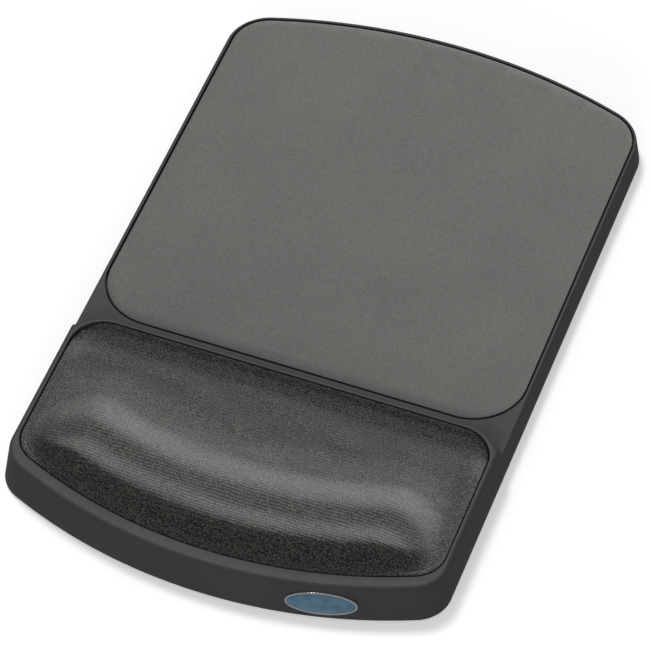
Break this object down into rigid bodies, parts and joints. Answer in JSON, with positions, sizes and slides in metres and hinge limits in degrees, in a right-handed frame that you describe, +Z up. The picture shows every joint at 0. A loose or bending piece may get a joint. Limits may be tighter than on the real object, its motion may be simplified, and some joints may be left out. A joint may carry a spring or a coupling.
{
  "type": "wrist rest",
  "caption": "Mouse platform with a raised gel wrist cushion in front of a flat cloth mouse pad, on a hollow hard tray with fold-out tilt legs underneath.",
  "frame": {"origin": "centre of the footprint, on the plane that the undersides of the rubber feet stand on", "axes": "+Z up, +Y from the wrist cushion towards the mouse pad end, +X to the right of a person using it"},
  "size_m": [0.159, 0.257, 0.0216],
  "materials": {
    "tray_plastic": "fine satin moulded charcoal plastic",
    "base_plastic": "fine matt moulded black plastic",
    "inner_plastic": "matt moulded black plastic",
    "pad_cloth": "flat fine woven grey polyester cloth",
    "pad_backing": "closed-cell black foam rubber",
    "cushion_knit": "ribbed stretch knit with a soft sheen, charcoal grey",
    "gel": "soft clear-grey gel",
    "rubber_feet": "matt black rubber",
    "steel": "bright zinc-plated steel",
    "badge_silver": "bright silver rim",
    "badge_blue": "clear domed resin over slate blue, plain with no mark"
  },
  "bodies": {
    "platform": {"tray_shell": "tray_plastic", "base_plate": "base_plastic", "mouse_pad_backing": "pad_backing", "mouse_pad_cloth": "pad_cloth", "cushion_cover": "cushion_knit", "cushion_gel": "gel", "cushion_carrier": "inner_plastic", "base_screw_rear_left": "steel", "base_screw_rear_right": "steel", "base_screw_middle_left": "steel", "base_screw_middle_right": "steel", "base_screw_front_left": "steel", "base_screw_front_right": "steel", "carrier_screw_rear_left": "steel", "carrier_screw_rear_right": "steel", "carrier_screw_front_left": "steel", "carrier_screw_front_right": "steel", "foot_rear_left": "rubber_feet", "foot_rear_right": "rubber_feet", "foot_middle": "rubber_feet", "foot_front_left": "rubber_feet", "foot_front_right": "rubber_feet", "left_leg_pin": "steel", "right_leg_pin": "steel", "badge_bezel": "badge_silver", "badge_lens": "badge_blue"},
    "left_leg_body": {"left_leg": "inner_plastic", "left_leg_tip": "rubber_feet"},
    "right_leg_body": {"right_leg": "inner_plastic", "right_leg_tip": "rubber_feet"}
  },
  "joints": [
    {"name": "left_leg_hinge", "type": "hinge", "parent": "platform", "child": "left_leg_body", "pos_m": [-0.04, 0.106, 0.0039], "axis": [1, 0, 0], "range_deg": [0, 95]},
    {"name": "right_leg_hinge", "type": "hinge", "parent": "platform", "child": "right_leg_body", "pos_m": [0.04, 0.106, 0.0039], "axis": [1, 0, 0], "range_deg": [0, 95]}
  ]
}
